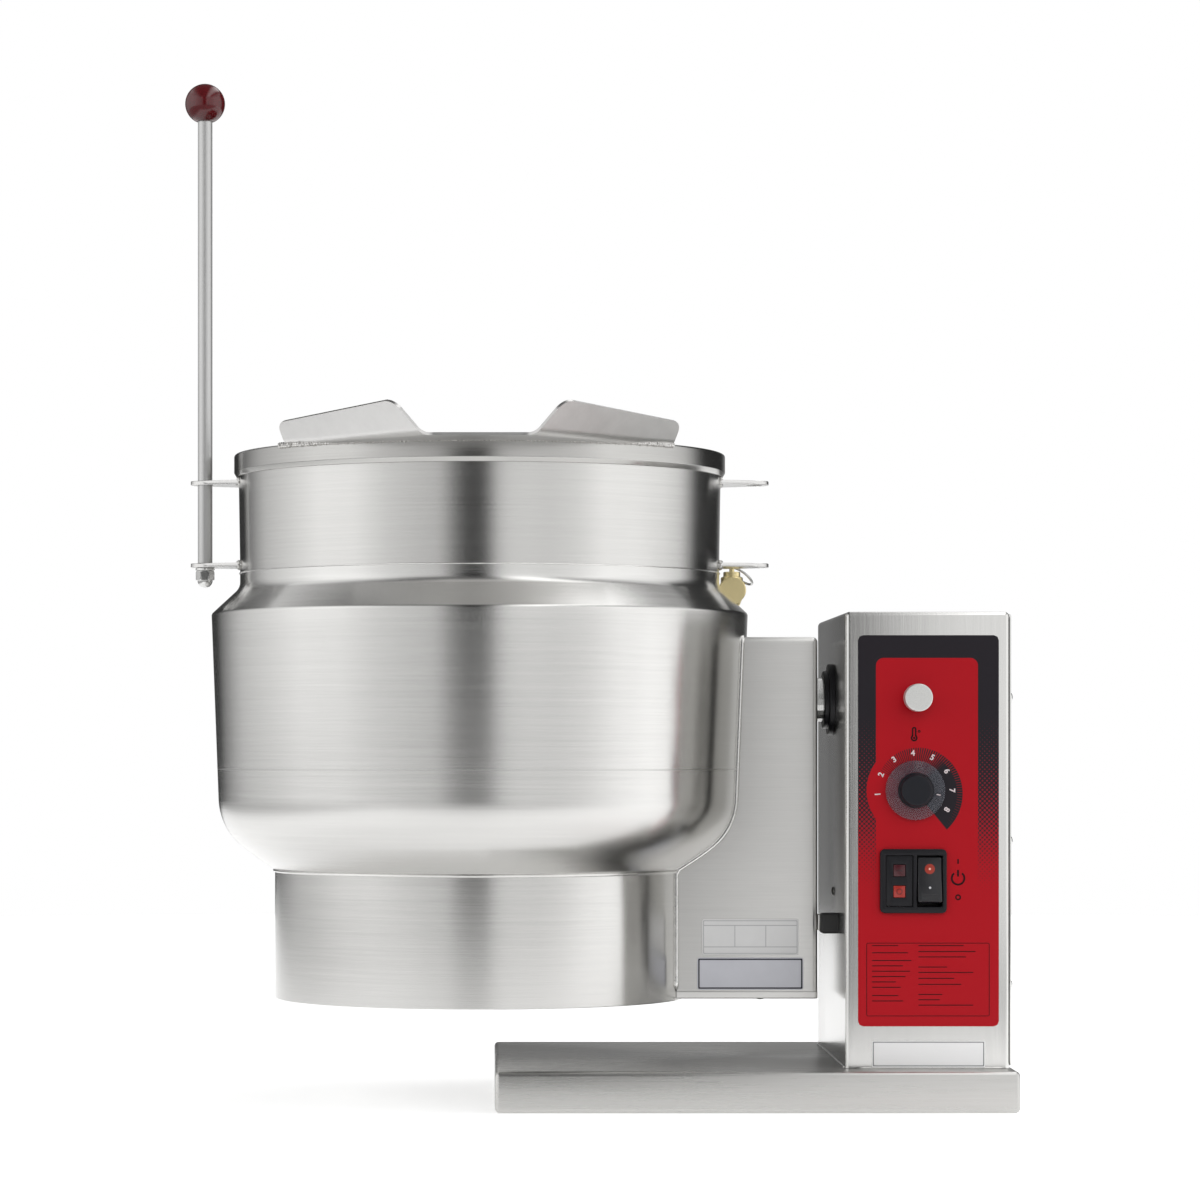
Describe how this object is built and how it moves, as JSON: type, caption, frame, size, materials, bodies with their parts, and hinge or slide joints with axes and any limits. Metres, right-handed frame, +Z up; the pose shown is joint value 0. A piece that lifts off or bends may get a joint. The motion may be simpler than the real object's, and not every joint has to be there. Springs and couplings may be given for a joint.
{
  "type": "steam jacketed kettle",
  "caption": "Tilting steam jacketed kettle: round steel bowl with butterfly pouring lip and heated jacket, hung by a box arm from a tall control console on a low base.",
  "frame": {"origin": "centre of the base's underside, on the counter", "axes": "+Z up; the pouring lip and the controls face -Y; the kettle is at -X and the console at +X"},
  "size_m": [0.7089, 0.5093, 0.886],
  "materials": {
    "brushed_steel": "satin brushed stainless steel",
    "bright_steel": "bright turned steel",
    "zinc_steel": "dull zinc plated steel",
    "painted_steel": "dark grey paint",
    "brass": "cast and turned brass",
    "bronze": "sintered bronze",
    "rubber": "matte black rubber",
    "black_plastic": "black moulded plastic",
    "smoky_plastic": "clear smoky plastic",
    "red_overlay": "printed film, red and black",
    "red_ball": "polished dark red phenolic",
    "dark_lens": "unlit red lens",
    "orange_lens": "lit orange lens",
    "aluminium": "satin aluminium",
    "white_plastic": "white moulded plastic",
    "bare_label": "bare silver film"
  },
  "bodies": {
    "base": {"base_tray": "brushed_steel", "base_crossmember": "zinc_steel", "console_shell": "brushed_steel", "console_side_cover": "brushed_steel", "side_screw_1": "bright_steel", "side_screw_2": "bright_steel", "side_screw_3": "bright_steel", "control_overlay": "red_overlay", "name_plate": "bare_label", "latch_guide": "zinc_steel", "latch_spring": "bright_steel", "thermostat_body": "black_plastic", "switch_bezel": "black_plastic", "indicator_body": "black_plastic", "upper_lens": "dark_lens", "lower_lens": "orange_lens", "switch_body": "black_plastic", "bearing_frame": "painted_steel", "left_bush": "bronze", "right_bush": "bronze", "bearing_flange": "black_plastic", "stop_bumper": "rubber", "component_panel": "zinc_steel", "terminal_block": "white_plastic", "contactor": "black_plastic", "transformer": "painted_steel", "conduit_bushing": "zinc_steel"},
    "kettle": {"kettle_liner": "brushed_steel", "rim_bar": "brushed_steel", "jacket_shell": "brushed_steel", "skirt": "brushed_steel", "skirt_cover": "brushed_steel", "pour_lip": "brushed_steel", "upper_left_ear": "brushed_steel", "lower_left_ear": "brushed_steel", "upper_right_ear": "brushed_steel", "lower_right_ear": "brushed_steel", "handle_rod": "brushed_steel", "handle_ball": "red_ball", "lock_washer": "bright_steel", "acorn_nut": "bright_steel", "arm_housing": "brushed_steel", "arm_cover": "brushed_steel", "lower_label_plate": "bare_label", "upper_label_plate": "bare_label", "stop_lug": "brushed_steel", "trunnion_bracket": "zinc_steel", "trunnion_shaft": "bright_steel", "lock_collar": "zinc_steel", "end_collar": "zinc_steel", "heating_element": "bright_steel", "low_water_probe": "brass", "relief_valve": "brass", "fill_plug": "brass"},
    "relief_ring": {"relief_ring": "bright_steel"},
    "latch": {"latch_knob": "aluminium", "latch_rod": "bright_steel"},
    "thermostat_knob": {"dial_cap": "black_plastic", "dial_skirt": "smoky_plastic"},
    "rocker": {"rocker": "black_plastic"}
  },
  "joints": [
    {"name": "kettle_tilt", "type": "hinge", "parent": "base", "child": "kettle", "pos_m": [0.059, -0.018, 0.3464], "axis": [1, 0, 0], "range_deg": [0, 90]},
    {"name": "latch_pull", "type": "slide", "parent": "base", "child": "latch", "axis": [0, -1, 0], "range_m": [0, 0.012], "stiffness_N_per_m": 400, "springref_m": -0.01, "deforming": ["latch_spring"]},
    {"name": "thermostat_turn", "type": "hinge", "parent": "base", "child": "thermostat_knob", "pos_m": [0.13409, -0.1415, 0.2687], "axis": [0, 1, 0], "range_deg": [-220, 40]},
    {"name": "rocker_tip", "type": "hinge", "parent": "base", "child": "rocker", "pos_m": [0.1463, -0.1383, 0.1925], "axis": [1, 0, 0], "range_deg": [0, 16]},
    {"name": "ring_swing", "type": "hinge", "parent": "kettle", "child": "relief_ring", "pos_m": [-0.0086, 0.043, 0.46375], "axis": [0, -1, 0], "range_deg": [0, 100]}
  ]
}
